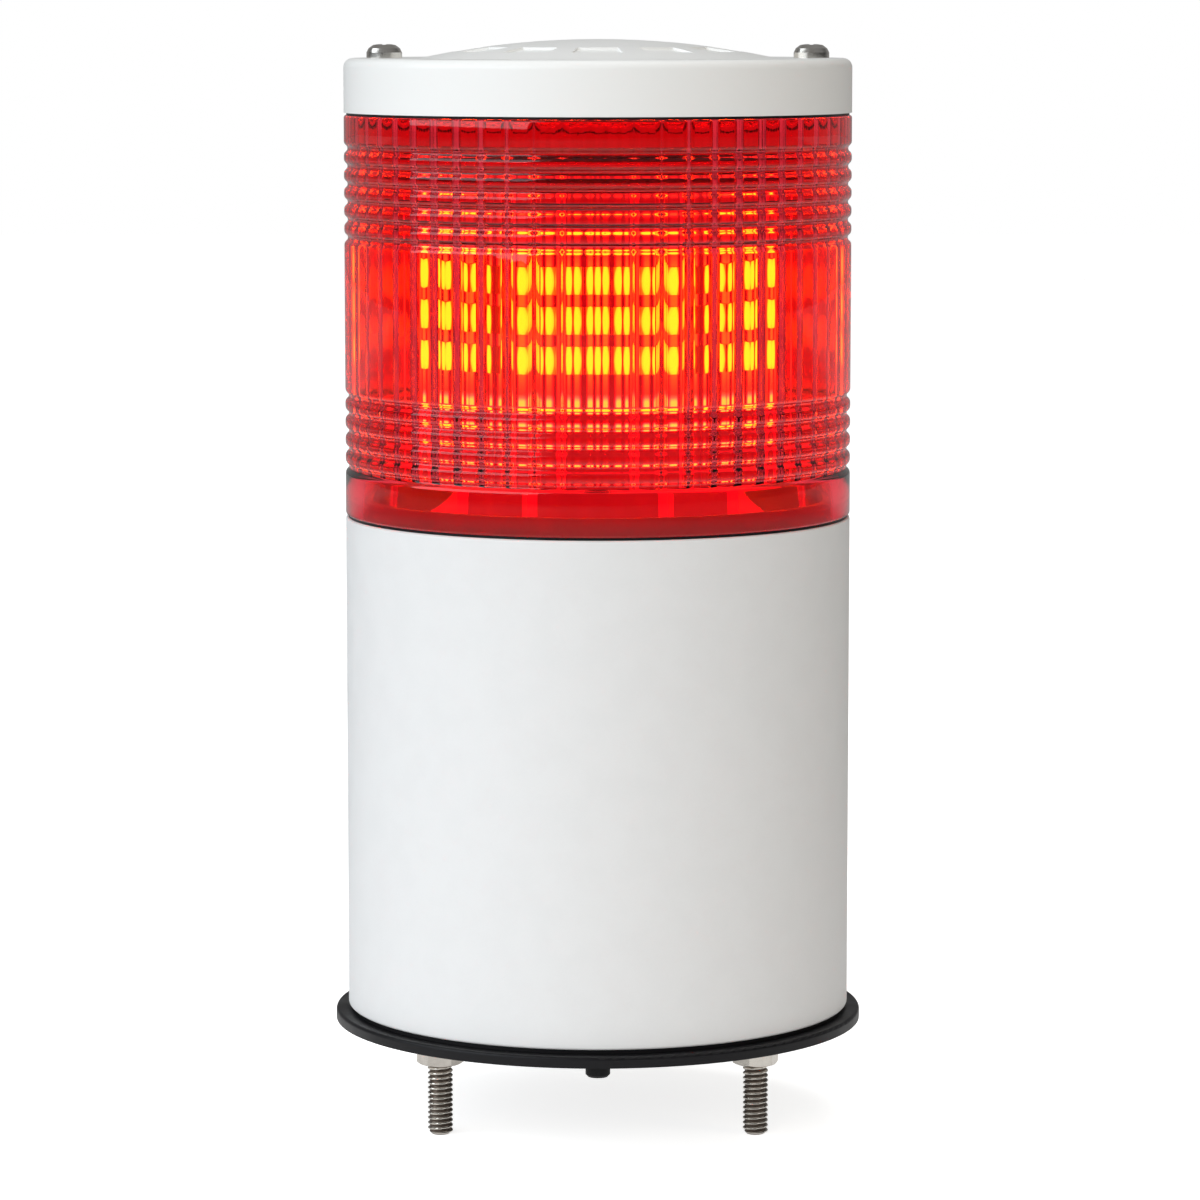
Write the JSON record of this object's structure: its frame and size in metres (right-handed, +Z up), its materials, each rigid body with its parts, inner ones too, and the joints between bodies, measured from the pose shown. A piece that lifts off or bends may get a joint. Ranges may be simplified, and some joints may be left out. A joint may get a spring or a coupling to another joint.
{
  "type": "stack light",
  "caption": "Round stack light with one red lens tier on a tall white housing, rubber flange and downward mounting studs.",
  "frame": {"origin": "centre of the plane through the tips of the three mounting studs, the lowest point of the light", "axes": "+Z up along the tower's axis, -Y towards the front with the locating peg, +X to the right seen from the front"},
  "size_m": [0.105, 0.105, 0.2153],
  "materials": {
    "white_moulding": "fine satin texture",
    "white_cap": "smooth satin gloss",
    "white_inner": "matt",
    "red_lens": "clear and glossy",
    "black_rubber": "matt",
    "black_moulding": "satin",
    "steel": "bright rolled thread",
    "chrome": "polished",
    "brass": "turned",
    "white_board": "white solder mask",
    "dark_board": "dark solder mask",
    "green_board": "green solder mask",
    "led": "glowing",
    "terminal_plastic": "satin",
    "core_steel": "varnished laminations",
    "winding_tape": "satin tape",
    "can_sleeve": "shrunk sleeve",
    "chip_black": "matt",
    "lead_red": "satin sleeve"
  },
  "bodies": {
    "root": {"base_plate": "black_moulding", "base_screws": "steel", "board_screws": "steel", "cable_bush": "black_rubber", "cap_seal": "black_rubber", "capacitors": "can_sleeve", "control_board": "green_board", "frame_screws": "steel", "gasket": "black_rubber", "housing": "white_moulding", "hub_board": "dark_board", "hub_screws": "steel", "lead_plugs": "white_inner", "lead_sockets": "white_inner", "led_board_1": "white_board", "led_board_2": "white_board", "led_board_3": "white_board", "led_board_4": "white_board", "led_board_5": "white_board", "led_board_6": "white_board", "led_frame": "white_inner", "led_leads": "lead_red", "leds_1": "led", "leds_2": "led", "leds_3": "led", "leds_4": "led", "leds_5": "led", "leds_6": "led", "lens": "red_lens", "lens_seal": "black_rubber", "logic_chips": "chip_black", "mounting_bolts": "steel", "plain_washers": "steel", "spring_washers": "steel", "stud_nuts": "steel", "terminal_block": "terminal_plastic", "terminal_screws": "steel", "tie_bolts": "chrome", "tie_inserts": "brass", "top_cap": "white_cap", "transformer_coil": "winding_tape", "transformer_core": "core_steel"}
  },
  "joints": []
}
